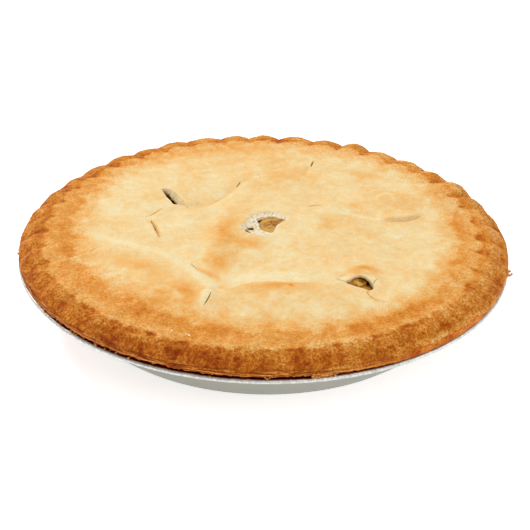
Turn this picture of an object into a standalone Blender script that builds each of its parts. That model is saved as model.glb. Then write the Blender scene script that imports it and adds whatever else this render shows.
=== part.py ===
"""Uncut apple pie with a fluted edge, in the smooth foil tin that it was baked in.

Metres, +Z up. The origin is the centre of the tin's flat base, +X is to the
right and +Y away from the side that faces the viewer. Bearings are in degrees,
counter-clockwise from +X.

Three solids: the tin, the pastry (bottom crust, fluted edge and lid in one
shell) and the apple filling inside it, which shows through the vents of the lid.
"""

import math

import bmesh
import bpy
import numpy as np
from mathutils import Matrix, Vector

MM = 0.001
CLEARANCE = 0.3 * MM

# The tin, a nominal nine inch pan.
TIN_BASE_R = 90.8 * MM
TIN_MOUTH_R = 111.2 * MM
TIN_FLANGE_Z = 27.0 * MM  # underside of the flange
TIN_GAUGE = 0.35 * MM
TIN_CORNER = 2.4 * MM
BEAD_R = 1.15 * MM
BEAD_CENTRE = (119.35 * MM, 27.25 * MM)
BEAD_TURN = (math.radians(195), math.radians(531))  # under, round and over
BEAD_POINTS = 8

# The edge of the pastry: flutes pressed into a raised border.
FLUTES = 41
FLUTE_DEPTH = 2.3 * MM  # height lost in the valley between two flutes
FLUTE_BITE = 1.3 * MM  # radius lost there
FLUTE_START_R = 98.0 * MM  # the flutes fade out inwards
CREST_R = 110.5 * MM
LIP_R = 120.5 * MM
CREST_Z = 38.5 * MM
DISC_R = 107.0 * MM  # the lid's grid ends here and the border's rings begin

# The lid.
LID_CENTRE_Z = 39.4 * MM
LID_FALL = 1.2 * MM  # from the centre to the border
LID_THICKNESS = 3.4 * MM
SIDE_THICKNESS = 4.0 * MM
BOTTOM_THICKNESS = 4.0 * MM
HOLLOW_R = 100.0 * MM
HOLLOW_NARROWEST = 9  # the underside follows only swells at least this wide

# Broad swells and dips: x, y, half length, half width, turn, rise.
SWELLS = (
    (-58, -59, 34, 20, -36, 2.6),  # front left swell
    (-84, -24, 16, 12, 70, 0.8),
    (9, -74, 42, 15, 4, 2.4),  # front swell
    (67, -58, 22, 16, 36, 0.8),
    (-6, -37, 22, 12, 10, -2.2),  # pale dip in front of the middle vent
    (-45, -23, 20, 9, -43, -1.6),  # trough behind the front left swell
    (-23, -20, 30, 7, 72, 1.8),  # ridge left of the middle
    (-26, 32, 36, 7, 43, -1.1),  # trough at the back left
    (70, 32, 17, 11, 14, 1.5),
    (3, 53, 26, 11, 7, 1.4),
    (47, -40, 11, 6, -10, 2.6),  # flap pushed up behind the front right vent
    (0, 5, 12, 10, 0, 1.0),  # dough torn up round the middle vent
)
UNEVENNESS = ((34.0, 0.5, 5), (13.0, 0.25, 6))  # spacing, height, seed

# Vents cut in the lid: bearing, radii of the two ends, width, bow.
VENTS = {
    "vent_back_left": (145.8, 45.3, 65.8, 4.6, 1.2),
    "vent_left": (199.0, 80.3, 88.4, 0.9, 0.0),
    "vent_front_left": (251.5, 65.3, 82.2, 2.0, 0.6),
    "vent_front_right": (309.2, 61.8, 78.5, 7.4, 0.6),
    "vent_right": (8.8, 60.5, 81.2, 1.1, -0.8),
    "vent_back_right": (70.6, 64.1, 78.0, 1.0, 0.0),
}
MIDDLE_VENT = (0.6, 1.6, 6.6, 6.0)  # x, y, half width, half depth
VENT_POINTS = 8  # along each side of a vent

# Apple pieces that show in the two open vents: x, y, z, radii, turn.
APPLE_PIECES = (
    (1.2, 2.0, 34.0, 4.6, 4.0, 3.4, 20),
    (44.9, -54.0, 33.6, 4.2, 2.2, 3.6, -52),
)

# A flake that sticks out of the edge on the right.
FLAKE_BEARING = -13.7
FLAKE_WIDTH = 1.3
FLAKE_REACH = 1.5 * MM

TIN_STEPS = 2 * FLUTES
LID_CELLS = FLUTES  # four points on the border for each flute
HOLLOW_CELLS = 20


def collection(name):
    """A new collection in the scene."""
    made = bpy.data.collections.new(name)
    bpy.context.scene.collection.children.link(made)
    return made


def material(name, colour, roughness, metallic=0.0):
    """A plain Principled material."""
    made = bpy.data.materials.new(name)
    made.use_nodes = True
    shader = made.node_tree.nodes["Principled BSDF"]
    shader.inputs["Base Color"].default_value = (*colour, 1.0)
    shader.inputs["Roughness"].default_value = roughness
    shader.inputs["Metallic"].default_value = metallic
    return made


def object_from(bm, name, where, look=None):
    """An object of the bmesh, its faces pointing out, in a collection."""
    bmesh.ops.recalc_face_normals(bm, faces=bm.faces)
    mesh = bpy.data.meshes.new(name)
    bm.to_mesh(mesh)
    bm.free()
    made = bpy.data.objects.new(name, mesh)
    where.objects.link(made)
    if look:
        mesh.materials.append(look)
    return made


def cutter_from(bm, name, where):
    """A helper that the render and the solids leave out."""
    made = object_from(bm, name, where)
    made.hide_render = True
    made.display_type = "WIRE"
    return made


def smooth_step(low, high, value):
    t = np.clip((value - low) / (high - low), 0.0, 1.0)
    return t * t * (3.0 - 2.0 * t)


def wavy(x, y, spacing, seed):
    """Smooth unevenness from -1 to 1, with its bumps about spacing apart."""
    size = 64
    table = np.random.default_rng(seed).uniform(-1.0, 1.0, (size, size))
    u, v = x / spacing + size / 2, y / spacing + size / 2
    i, j = np.floor(u).astype(int), np.floor(v).astype(int)
    s, t = smooth_step(0.0, 1.0, u - i), smooth_step(0.0, 1.0, v - j)
    near = table[i % size, j % size] * (1 - s) + table[(i + 1) % size, j % size] * s
    far = (
        table[i % size, (j + 1) % size] * (1 - s)
        + table[(i + 1) % size, (j + 1) % size] * s
    )
    return near * (1 - t) + far * t


def valley(bearing):
    """0 on the middle of a flute and 1 in the valley beside it."""
    turn = (bearing - math.pi / 2) * FLUTES / (2 * math.pi)
    offset = np.abs(turn - np.round(turn)) * 2
    return offset**1.8


def swell(x, y, centre_x, centre_y, length, width, turn, rise):
    """The height that one swell adds."""
    c, s = math.cos(math.radians(turn)), math.sin(math.radians(turn))
    along = ((x - centre_x * MM) * c + (y - centre_y * MM) * s) / (length * MM)
    across = ((y - centre_y * MM) * c - (x - centre_x * MM) * s) / (width * MM)
    return rise * MM * np.exp(-(along**2) - across**2)


def lid_height(x, y, narrowest=0.0):
    """Height of the lid's upper surface, out to the border's crest. Swells with a
    half width under narrowest are left out."""
    r = np.hypot(x, y)
    z = LID_CENTRE_Z - LID_FALL * (r / DISC_R) ** 2
    inner = 1.0 - smooth_step(88.0 * MM, 108.0 * MM, r)
    for entry in SWELLS:
        if entry[3] >= narrowest:
            z = z + swell(x, y, *entry) * inner
    for spacing, height, seed in UNEVENNESS:
        z = z + wavy(x, y, spacing * MM, seed) * height * MM * inner
    pressed = smooth_step(FLUTE_START_R, CREST_R, r) * FLUTE_DEPTH
    rise = smooth_step(FLUTE_START_R, CREST_R, r) * (
        CREST_Z - LID_CENTRE_Z + LID_FALL
    )
    return z + rise - pressed * valley(np.arctan2(y, x))


def border_ring(radius, height, pressed=0.0, bitten=0.0, flake=0.0):
    """A ring of the pastry's outline: a function from bearing to (radius, height)."""

    def ring(bearing):
        dip = valley(bearing)
        off = np.degrees(bearing) - FLAKE_BEARING
        out = flake * FLAKE_REACH * np.exp(-((off / FLAKE_WIDTH) ** 2))
        return (
            radius * MM - bitten * FLUTE_BITE * dip + out,
            height * MM - pressed * FLUTE_DEPTH * dip,
        )

    return ring


def hanging_ring(radius, height, droop):
    """A ring that hangs lower at the sides than at the front, and lowest at the
    front right."""

    def ring(bearing):
        front = smooth_step(0.1, 0.8, -np.sin(bearing))
        right = np.exp(-(((np.degrees(bearing) + 38.0) / 26.0) ** 2))
        hang = np.maximum(1 - front, 1.5 * right)
        return radius * MM + 0 * bearing, (height - droop * hang) * MM

    return ring


def disc_point(a, b):
    """A point of the square from -1 to 1 taken to the unit disc, ring for ring."""
    if abs(a) >= abs(b):
        r, turn = a, (math.pi / 4) * (b / a if a else 0.0)
    else:
        r, turn = b, math.pi / 2 - (math.pi / 4) * (a / b)
    return r * math.cos(turn), r * math.sin(turn)


def disc_body(cells, radius, height, rings):
    """A closed body: a disc with its height from a function, walls ring by ring and
    a flat cap. A grid line meets the border at the bearing of +Y."""
    bm = bmesh.new()
    bmesh.ops.create_grid(bm, x_segments=cells, y_segments=cells, size=1.0)
    turned = Matrix.Rotation(math.pi / 4 / cells if cells % 2 else 0.0, 2)
    places = [turned @ Vector(disc_point(v.co.x, v.co.y)) for v in bm.verts]
    x, y = np.array(places).T * radius
    for vertex, place in zip(bm.verts, zip(x, y, height(x, y))):
        vertex.co = place
    edges = [e for e in bm.edges if e.is_boundary]
    for ring in rings:
        made = bmesh.ops.extrude_edge_only(bm, edges=edges)["geom"]
        edges = [g for g in made if isinstance(g, bmesh.types.BMEdge)]
        verts = [g for g in made if isinstance(g, bmesh.types.BMVert)]
        bearing = np.array([math.atan2(v.co.y, v.co.x) for v in verts])
        r, z = ring(bearing)
        z = z + 0 * bearing
        for vertex, place in zip(verts, zip(r * np.cos(bearing), r * np.sin(bearing), z)):
            vertex.co = place
        edges = [e for e in edges if e.is_boundary]
    bmesh.ops.edgeloop_fill(bm, edges=edges)
    quads = [f for f in bm.faces if len(f.verts) == 4]
    bmesh.ops.triangulate(bm, faces=quads, quad_method="FIXED")
    return bm


def tin_wall_r(z):
    """Outer radius of the tin's sloping wall at a height."""
    return TIN_BASE_R + (TIN_MOUTH_R - TIN_BASE_R) * z / TIN_FLANGE_Z


def build_tin(where):
    """The tin: a turned profile with a flat base, a flange and a rolled bead."""
    slope = math.atan2(TIN_MOUTH_R - TIN_BASE_R, TIN_FLANGE_Z)
    shift = TIN_GAUGE / math.cos(slope)  # the gauge, measured along the radius
    bead_x, bead_z = BEAD_CENTRE
    bead = [
        (bead_x + BEAD_R * math.cos(a), bead_z + BEAD_R * math.sin(a))
        for a in np.linspace(*BEAD_TURN, BEAD_POINTS)
    ]
    top = TIN_FLANGE_Z + TIN_GAUGE
    outline = [
        (0.0, 0.0),
        (TIN_BASE_R - TIN_CORNER, 0.0),
        (tin_wall_r(TIN_CORNER), TIN_CORNER),
        (TIN_MOUTH_R, TIN_FLANGE_Z),
        *bead,
        (tin_wall_r(top) - shift, top),
        (tin_wall_r(TIN_CORNER) - shift, TIN_CORNER),
        (TIN_BASE_R - TIN_CORNER - shift, TIN_GAUGE),
        (0.0, TIN_GAUGE),
    ]
    bm = bmesh.new()
    verts = [bm.verts.new((x, 0.0, z)) for x, z in reversed(outline)]
    for a, b in zip(verts, verts[1:]):
        bm.edges.new((a, b))
    mesh = bpy.data.meshes.new("pie_tin")
    bm.to_mesh(mesh)
    bm.free()
    tin = bpy.data.objects.new("pie_tin", mesh)
    where.objects.link(tin)
    mesh.materials.append(material("foil", (0.66, 0.66, 0.62), 0.35, 1.0))
    turned = tin.modifiers.new("Turned", "SCREW")
    turned.steps = turned.render_steps = TIN_STEPS
    turned.use_merge_vertices = True
    turned.merge_threshold = 0.00001
    return tin


def inside_tin(z):
    """Radius of the pastry's side, just clear of the tin's wall."""
    return (tin_wall_r(z) - TIN_GAUGE - CLEARANCE) / MM - 0.3


def build_hollow(inset):
    """The space for the filling, or the filling itself when it is inset."""
    inner = inset / MM
    rim_z = 30.5 - inner
    floor = BOTTOM_THICKNESS / MM + 0.65 + inner

    def height(x, y):
        return lid_height(x, y, HOLLOW_NARROWEST) - LID_THICKNESS - 1.3 * inset

    rings = (
        border_ring(104.5 - inner, 32.6 - inner),
        border_ring(105.6 - inner, rim_z),
        border_ring(inside_tin(20.0 * MM) - SIDE_THICKNESS / MM - inner, 20.0),
        border_ring(inside_tin(floor * MM) - SIDE_THICKNESS / MM - inner, floor),
    )
    return disc_body(HOLLOW_CELLS, HOLLOW_R - inset, height, rings)


def vent_outline(bearing, start, end, width, bow):
    """Corners of a slit that tapers to both ends and may bow sideways."""
    turn = math.radians(bearing)
    along = Vector((math.cos(turn), math.sin(turn)))
    across = Vector((-along.y, along.x))
    corners = []
    for side in (1, -1):
        for k in range(VENT_POINTS):
            t = k / VENT_POINTS if side > 0 else 1 - k / VENT_POINTS
            half = 0.5 * width * math.sin(math.pi * t) ** 0.8 if 0 < t < 1 else 0.0
            off = side * half + bow * math.sin(math.pi * t)
            corners.append((along * (start + (end - start) * t) + across * off) * MM)
    return corners


def middle_outline():
    """Corners of the torn opening in the middle of the lid."""
    x, y, half_width, half_depth = MIDDLE_VENT
    corners = []
    for k in range(16):
        a = 2 * math.pi * k / 16
        r = 1.0 + 0.12 * math.sin(3 * a + 0.6)
        corners.append(
            Vector((x + half_width * r * math.cos(a), y + half_depth * r * math.sin(a)))
            * MM
        )
    return corners


def vent_cutter(name, corners, where):
    """An upright prism through the lid."""
    low, high = 32.5 * MM, 48.0 * MM
    bm = bmesh.new()
    face = bm.faces.new([bm.verts.new((*c, low)) for c in corners])
    made = bmesh.ops.extrude_face_region(bm, geom=[face])["geom"]
    lift = Vector((0.0, 0.0, high - low))
    verts = [g for g in made if isinstance(g, bmesh.types.BMVert)]
    bmesh.ops.translate(bm, vec=lift, verts=verts)
    return cutter_from(bm, name, where)


def cut(obj, cutters):
    """Takes a collection of cutters away from the object."""
    made = obj.modifiers.new("Cut", "BOOLEAN")
    made.operation = "DIFFERENCE"
    made.operand_type = "COLLECTION"
    made.collection = cutters
    made.solver = "EXACT"


def build_pastry(where, cutters):
    """Bottom crust, border and lid in one shell, with the vents cut through."""
    flange = (TIN_FLANGE_Z + TIN_GAUGE + CLEARANCE) / MM
    floor = (TIN_GAUGE + CLEARANCE) / MM
    corner = TIN_CORNER / MM + 0.4
    rings = (
        border_ring(CREST_R / MM, CREST_Z / MM, 1.0, 0.4),
        border_ring(113.4, 37.8, 1.0, 1.0),
        border_ring(115.9, 36.3, 0.9, 1.2),
        border_ring(117.8, 34.6, 0.6, 1.0),
        border_ring(119.3, 33.0, 0.25, 0.5),
        border_ring(120.3, 31.7, 0.0, 0.0, 0.8),
        border_ring(LIP_R / MM, 30.5, 0.0, 0.0, 1.0),
        hanging_ring(120.1, 29.45, 0.5),
        hanging_ring(118.4, 29.35, 0.5),
        hanging_ring(116.9, flange, 0.0),
        border_ring(inside_tin(TIN_FLANGE_Z) + 0.9, flange),
        border_ring(inside_tin(corner * MM), corner),
        border_ring(TIN_BASE_R / MM - TIN_CORNER / MM - 1.0, floor),
    )
    bm = disc_body(LID_CELLS, DISC_R, lid_height, rings)
    look = material("baked_pastry", (0.80, 0.52, 0.25), 0.6)
    pastry = object_from(bm, "pastry_crust", where, look)
    cutter_from(build_hollow(0.0), "hollow", cutters)
    for name, sizes in VENTS.items():
        vent_cutter(name, vent_outline(*sizes), cutters)
    vent_cutter("vent_middle", middle_outline(), cutters)
    cut(pastry, cutters)
    return pastry


def build_filling(where, lumps):
    """The filling, with the pieces of apple that stand up in the open vents."""
    look = material("apple_filling", (0.55, 0.30, 0.07), 0.3)
    filling = object_from(build_hollow(CLEARANCE), "apple_filling", where, look)
    for k, (x, y, z, rx, ry, rz, turn) in enumerate(APPLE_PIECES):
        bm = bmesh.new()
        bmesh.ops.create_icosphere(bm, subdivisions=2, radius=1.0)
        place = (
            Matrix.Translation(Vector((x, y, z)) * MM)
            @ Matrix.Rotation(math.radians(turn), 4, "Z")
            @ Matrix.Diagonal((rx * MM, ry * MM, rz * MM, 1.0))
        )
        bmesh.ops.transform(bm, matrix=place, verts=bm.verts)
        cutter_from(bm, f"apple_piece_{k + 1}", lumps)
    joined = filling.modifiers.new("Pieces", "BOOLEAN")
    joined.operation = "UNION"
    joined.operand_type = "COLLECTION"
    joined.collection = lumps
    joined.solver = "EXACT"
    return filling


def main():
    for old in list(bpy.data.objects):
        bpy.data.objects.remove(old, do_unlink=True)
    pie = collection("apple_pie")
    cutters = collection("cutters")
    lumps = collection("apple_pieces")
    build_tin(pie)
    build_pastry(pie, cutters)
    build_filling(pie, lumps)


main()
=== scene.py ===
"""Looks of the apple pie: fine pastry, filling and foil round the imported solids.

Sizes are in millimetres until a mesh is made, and bearings in degrees counter-
clockwise from +X. +X is to the camera's right and +Y away from it.
"""

import math

import bmesh
import bpy
import numpy as np
from mathutils import Euler, Matrix, Vector, noise


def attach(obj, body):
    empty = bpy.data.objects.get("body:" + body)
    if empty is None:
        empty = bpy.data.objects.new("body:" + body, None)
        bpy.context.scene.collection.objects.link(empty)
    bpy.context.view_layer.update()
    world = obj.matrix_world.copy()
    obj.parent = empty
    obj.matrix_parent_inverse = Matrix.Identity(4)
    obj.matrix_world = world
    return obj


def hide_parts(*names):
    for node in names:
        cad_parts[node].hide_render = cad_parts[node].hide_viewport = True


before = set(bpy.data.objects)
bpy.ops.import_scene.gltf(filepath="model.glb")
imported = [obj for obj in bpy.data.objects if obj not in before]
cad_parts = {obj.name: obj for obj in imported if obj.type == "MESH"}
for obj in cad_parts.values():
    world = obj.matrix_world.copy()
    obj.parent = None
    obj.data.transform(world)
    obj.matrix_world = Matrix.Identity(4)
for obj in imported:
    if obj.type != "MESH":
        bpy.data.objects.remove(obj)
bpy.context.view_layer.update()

MM = 0.001

# ---- camera
CAMERA_AIM = (0.0, 0.0, 28.5)
CAMERA_DISTANCE = 762.0
CAMERA_ELEVATION = 28.157
CAMERA_ROLL = 1.0
CAMERA_LENS = 104.4
SENSOR_WIDTH = 36.0
IMAGE_SIZE = 530
AIM_PIXEL = (263.75, 246.0)  # where the aim falls in the image

# ---- sizes
TIN_BASE_R = 91.4
TIN_MOUTH_R = 111.2
TIN_FLANGE_R = 115.0
TIN_FLANGE_Z = 27.0
TIN_GAUGE = 0.35
TIN_CORNER = (3.2, 2.2)  # width and height of the rounded corner at the base
BEAD_R = 1.05
BEAD_CENTRE = (119.4, 26.4)

FLUTES = 41
FLUTE_DEPTH = 2.3
FLUTE_BITE = 1.3
FLUTE_START_R = 98.0
CREST_R = 110.5
CREST_Z = 38.5
LID_CENTRE_Z = 39.4
LID_FALL = 1.2
LID_FALL_R = 107.0
LID_THICKNESS = 3.4
DISC_R = 109.0  # the grid of the lid ends here
LID_CELLS = 6 * FLUTES
HOLLOW_CELLS = 74
WELD = 0.01  # points nearer than this are joined

# Swells are given as x, y, half length, half width, turn and rise.
SWELLS = (
    (-58, -59, 34, 20, -36, 2.6),  # front left swell
    (-84, -24, 16, 12, 70, 0.8),
    (9, -74, 42, 15, 4, 2.4),  # front swell
    (67, -58, 22, 16, 36, 0.8),
    (-6, -37, 22, 12, 10, -2.2),  # pale dip in front of the middle opening
    (-45, -23, 20, 9, -43, -1.6),  # trough behind the front left swell
    (-22, -20, 30, 7, 80, 1.1),  # ridge left of the middle
    (-26, 32, 36, 7, 43, -1.1),  # trough at the back left
    (70, 32, 17, 11, 14, 1.5),
    (3, 53, 26, 11, 7, 1.4),
    (45.5, -45, 8, 8, 0, 2.2),  # flap pushed up behind the front right opening
    (0, 5, 12, 10, 0, 1),  # dough torn up round the middle opening
)
UNEVENNESS = ((34, 0.5, 5), (13, 0.25, 6))  # spacing, height, seed

# Paths over the lid.
SWELL_EDGE = ((-74, -16), (-62, -22), (-50, -27), (-44, -32), (-38, -40), (-30, -51), (-24, -62))
SWELL_END = ((-24, -61), (-25, -66.6), (-26, -73), (-27.6, -80))
FRONT_FOLD = ((-17, -66), (-11, -62.6), (-5.5, -59.6), (1, -58.6), (8, -58.8), (15, -58.8), (24, -57))
BACK_CREASE = ((-45, 19), (-38, 20.6), (-28.2, 26.8), (-20.3, 36), (-14.5, 45), (-6, 56))
RIGHT_CREASE = ((34, 18), (44, 16.5), (52, 13), (59, 9.5))
LEFT_CREASE = ((-104, -38.6), (-98.5, -38.2), (-89.6, -35.4), (-82.4, -31))
SWELL_SWIRL = ((-51.8, -71.2), (-49.5, -66.6), (-45, -64.6), (-40.3, -68.1), (-37.3, -73.4), (-37.3, -80.5))
TROUGH_LINE = ((-27, 12), (-31, -6), (-31, -24), (-27, -38))
FLAP_CREST = ((39.8, -48.8), (42.6, -45.4), (46, -43.2), (49.2, -42.8), (51.4, -46))
MIDDLE_CREASE = ((40, 28), (41, 20), (40, 14))
BACK_DIP = ((20.5, 58), (22.5, 66), (24.5, 74))
BACK_LEFT_LIP = ((-53, 40.4), (-49.6, 38.4), (-46.2, 35.3), (-42.7, 30.2), (-39.4, 25.6), (-37, 22))
FRONT_RIGHT_LIP = ((37, -53.4), (41, -52.6), (44, -51.5), (46.6, -51.9), (49, -54.4), (51, -58))
LEFT_CRACK = ((-56.2, 6.5), (-54.4, 1.6), (-52.6, -4.6), (-50.9, -10.3))
LEFT_HAIRLINE = ((-59.4, 9.6), (-56.6, 11.5), (-53.4, 16.2), (-51.6, 19))
BACK_CRACK = ((-14.9, 44.5), (-12.6, 50))
RIGHT_HAIRLINE = ((20.6, 21.6), (25.3, 24), (29.4, 24.6))
FRONT_HAIRLINE = ((49, -59.6), (47.4, -64.4), (50, -69.9), (52.9, -71), (57, -72))
RIGHT_SCARP = ((56, 9), (65.4, 8.7), (69.4, 9), (73.5, 10.5), (77.6, 13.8), (79.6, 16.8))

# Folds of the lid: path, rise, width on the near side, width on the far side.
FOLDS = (
    (SWELL_EDGE, 2, 12, 3), (SWELL_END, 1.2, 4, 4), (FRONT_FOLD, 2, 12, 2), (BACK_CREASE, -0.9, 1.8, 3),
    (RIGHT_CREASE, -0.8, 1.3, 3), (LEFT_CREASE, 1, 4, 1.2), (SWELL_SWIRL, 0.5, 2, 2),
    (TROUGH_LINE, -0.8, 5, 4), (MIDDLE_CREASE, -0.4, 1.5, 1.5), (BACK_DIP, -1.1, 1.8, 1.8),
    (BACK_LEFT_LIP, 1.5, 1.6, 6), (FRONT_RIGHT_LIP, 1.4, 1.5, 6),
)
# The step up away from the camera: path, rise, width of the step, reach behind.
SCARP = (RIGHT_SCARP, 2, 1.7, 9)

# Openings through the lid. MIDDLE_SKIN is the edge of the skin round the torn one.
OPENINGS = {
    "back_left": (
        (-53, 40.2), (-51, 35.4), (-48.3, 29.6), (-46, 25), (-43.5, 24.6), (-40.7, 23.9),
        (-37.4, 21.8), (-39.6, 24.8), (-42.9, 29), (-46, 34.8), (-49.2, 39.4),
    ),
    "front_right": (
        (37.8, -55), (41.6, -57.8), (44.8, -59.6), (48.8, -61.6), (51, -59.2), (49, -54.7),
        (46.6, -52.2), (44, -51.8), (41, -52.9),
    ),
    "middle": (
        (-4.1, 8.4), (-1.4, 10.6), (3, 12.2), (8, 9.9), (11, 8.6), (8.6, 5.4), (6.3, 1),
        (4.1, -5.6), (0.6, -3.6), (-2, -0.6), (-2.9, 4.4),
    ),
}
MIDDLE_SKIN = (
    (-10, -5.1), (-9.9, 0.3), (-8, 6.8), (-5.6, 11.8), (-1.2, 14.9), (3.4, 15.8), (7.4, 13.4),
    (11.8, 8.4), (7.4, 0.8), (4.4, -7.2), (1, -9.6), (-2.9, -9.2), (-6.8, -7.1),
)
MIDDLE_SINK = 1.3  # the bare dough lies this much lower
# Brown pits in the bare dough: swells of its depth.
PITS = (
    (-6.6, -1.2, 3.2, 2.6, 0, 3.3), (-8.4, -4.4, 1.1, 1.8, 30, 2.6), (-5.4, -6.8, 2.6, 1.3, -28, 3.2),
    (-7, 4.6, 1.1, 1, 0, 2.6), (-6, 8.8, 1.6, 0.8, 20, 1.2), (9.6, 10.2, 1.8, 0.6, -45, 1.4),
)
# Dough darkened by the filling round openings, and in cracks as painted shade: swells of an amount.
STAINS_AND_CRACK_SHADE = (
    (3.5, 4, 10, 10, 0, 1), (45, -53, 9, 8, 0, 1), (-53, 38.5, 2.6, 2.2, -60, 0.9),
    (-53.5, -2, 9, 3, -72, 0.6), (-56, 14, 6, 3, 50, 0.6), (-13.8, 47.3, 4, 3, 65, 0.6),
    (-32.8, -40, 5, 3, -64, 0.6),
)
# How far the foot of an opening lies to the left and to the camera, for each mm down.
WALL_SLOPE = {"back_left": (0.38, 0.35)}
# Where the lid is thin: swells of the hollow under it.
THIN = (
    (-45.5, 30.5, 10, 6, -55, 0.4), (45, -51.5, 8, 5, -10, 2.7), (3.5, 4, 12, 12, 0, 1.2),
)
# Slits cut in the lid: start, end, width, bow.
SLITS = {
    "left": ((-83.6, -30.4), (-77.4, -23.9), 0.4, 0),
    "front_left": ((-23.4, -70.4), (-26.6, -81.2), 0.7, 0.4),
    "back_right": ((24.2, 71), (25.9, 78.2), 1.1, 0),
}
# Cracks of the lid: path, width, depth.
CRACKS = (
    (LEFT_CRACK, 1.3, 1.9), (LEFT_HAIRLINE, 0.6, 1.3), (BACK_CRACK, 0.8, 1.9),
    (((-36.4, 21.4), (-31, 24.8), (-26, 29.6), (-20.8, 35.6), (-16.8, 41)), 0.3, 0.5),
    (RIGHT_HAIRLINE, 0.55, 1.1), (((49, 46.2), (52.5, 47.6)), 0.4, 0.8),
    (((-34.4, -36.5), (-32.8, -40), (-31, -43.6)), 0.65, 1.7), (FRONT_HAIRLINE, 0.6, 1.3),
    (((33.4, -51.4), (35.6, -53), (38.4, -54.7)), 0.7, 1.4),
    (((50.4, -57.6), (51.6, -54.6), (53.4, -51.6)), 0.6, 0.9),
    (((62, -20.6), (65, -19.4), (67.5, -18)), 0.35, 0.7),
    (((-13.4, -63.8), (-9.6, -61), (-5.5, -58.8), (-0.6, -57.7), (4, -57.5)), 0.55, 1.1),
    (RIGHT_SCARP, 0.4, 0.7),
)


def smooth_step(low, high, value):
    t = np.clip((value - low) / (high - low), 0.0, 1.0)
    return t * t * (3.0 - 2.0 * t)


def fall(low, high, value):
    """1 up to low and 0 from high on."""
    return 1.0 - smooth_step(low, high, value)


def wavy(x, y, spacing, seed):
    """Smooth unevenness from -1 to 1, with its bumps about spacing apart."""
    size = 64
    table = np.random.default_rng(seed).uniform(-1.0, 1.0, (size, size))
    u, v = x / spacing + size / 2, y / spacing + size / 2
    i, j = np.floor(u).astype(int), np.floor(v).astype(int)
    s, t = smooth_step(0.0, 1.0, u - i), smooth_step(0.0, 1.0, v - j)
    i, k, j, m = (n % size for n in (i, i + 1, j, j + 1))
    near = table[i, j] * (1 - s) + table[k, j] * s
    far = table[i, m] * (1 - s) + table[k, m] * s
    return near * (1 - t) + far * t


def bell(distance, width):
    """1 at no distance, and falling to 0 over about twice the width."""
    return np.exp(-((distance / width) ** 2))


def rough(points, spacing, octaves, offset):
    """Fractal unevenness, about -1 to 1, at each of the points (N x 3)."""
    shift = Vector((offset, offset * 0.7, -offset))
    places = (Vector(p) / spacing + shift for p in points)
    return np.array([noise.fractal(p, 0.9, 2.0, octaves) for p in places])


def points_from(x, y, z):
    return np.stack([x, y, z + 0 * x], axis=1)


def polar(bearing, r, z):
    """Points at bearings in radians, radii and heights."""
    return points_from(r * np.cos(bearing), r * np.sin(bearing), z)


# ---- flutes
flute_rng = np.random.default_rng(41)
# Where each flute ends, counted from the back, a little uneven.
FLUTE_EDGES = np.arange(-1, FLUTES + 1) + 0.5 + flute_rng.uniform(-0.09, 0.09, FLUTES + 2)
FLUTE_EDGES[-2:] = FLUTE_EDGES[:2] + FLUTES
FLUTE_RISE = flute_rng.uniform(0.72, 1.12, FLUTES)
FLUTE_RISE[[33, 34, 38]] += (0.25, 0.5, 0.5)  # these stand out at the back right
# The flutes' depth round the rim. Such values are at even steps of the bearing, from 0.
FLUTE_SHARE = (1.1, 1.4, 0.85, 0.7, 0.8, 0.42, 0.68, 1.0, 0.85, 0.8, 0.7, 0.62, 0.6, 0.62, 0.7, 0.8)


def round_rim(bearing, values):
    """Values given at even steps round the rim, read at bearings in radians."""
    places = np.arange(len(values)) * 360 / len(values)
    return np.interp(np.degrees(bearing) % 360, places, values, period=360)


def flute(bearing):
    """0 on the middle of a flute and 1 in the valley beside it."""
    turn = np.mod((bearing - math.pi / 2) * FLUTES / (2 * math.pi), FLUTES)
    place = np.searchsorted(FLUTE_EDGES, turn, side="right") - 1
    low, high = FLUTE_EDGES[place], FLUTE_EDGES[place + 1]
    offset = np.abs(2 * (turn - low) / (high - low) - 1)
    dip = 1.0 - (1.0 - offset**1.8) * FLUTE_RISE[place % FLUTES]
    return dip * round_rim(bearing, FLUTE_SHARE)


def swells(x, y, table):
    """The height that all swells of a table add."""
    height = 0.0
    for centre_x, centre_y, length, width, turn, rise in table:
        c, s = math.cos(math.radians(turn)), math.sin(math.radians(turn))
        along = ((x - centre_x) * c + (y - centre_y) * s) / length
        across = ((y - centre_y) * c - (x - centre_x) * s) / width
        height = height + rise * np.exp(-(along**2) - across**2)
    return height


def along_path(x, y, path):
    """(signed distance, place from 0 to 1) of each point from a path. The distance
    is positive on the left of the path's direction."""
    path = np.array(path, float)
    lengths = np.hypot(*np.diff(path, axis=0).T)
    starts = np.concatenate([[0.0], np.cumsum(lengths)[:-1]])
    best = np.full(x.shape, 1e9)
    side, place = np.zeros(x.shape), np.zeros(x.shape)
    for (ax, ay), (bx, by), length, start in zip(path, path[1:], lengths, starts):
        ux, uy = (bx - ax) / length, (by - ay) / length
        t = np.clip((x - ax) * ux + (y - ay) * uy, 0.0, length)
        dx, dy = x - ax - ux * t, y - ay - uy * t
        d = np.hypot(dx, dy)
        closer = d < best
        best = np.where(closer, d, best)
        side = np.where(closer, np.sign(ux * (y - ay) - uy * (x - ax)), side)
        place = np.where(closer, (start + t) / lengths.sum(), place)
    return best * np.where(side == 0, 1, side), place


def path_fade(place):
    """1 in the middle of a path, falling towards its ends."""
    return np.sin(np.pi * np.clip(place, 0.04, 0.96)) ** 0.5


def fold_height(x, y, path, rise, near, far):
    """The height that a fold adds: it falls away over near on the camera's side and
    over far behind."""
    d, place = along_path(x, y, path)
    if path[-1][0] < path[0][0]:
        d = -d
    width = np.where(d > 0, far, near)
    return rise * path_fade(place) * bell(d, width)


def scarp_height(x, y, path, rise, width, behind):
    """The height behind a step."""
    d, place = along_path(x, y, path)
    fade = np.sin(np.pi * np.clip(place, 0.0, 1.0)) ** 0.6
    reach = bell(np.maximum(d - width, 0.0), behind)
    return rise * smooth_step(-0.2, width, d) * reach * fade


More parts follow.
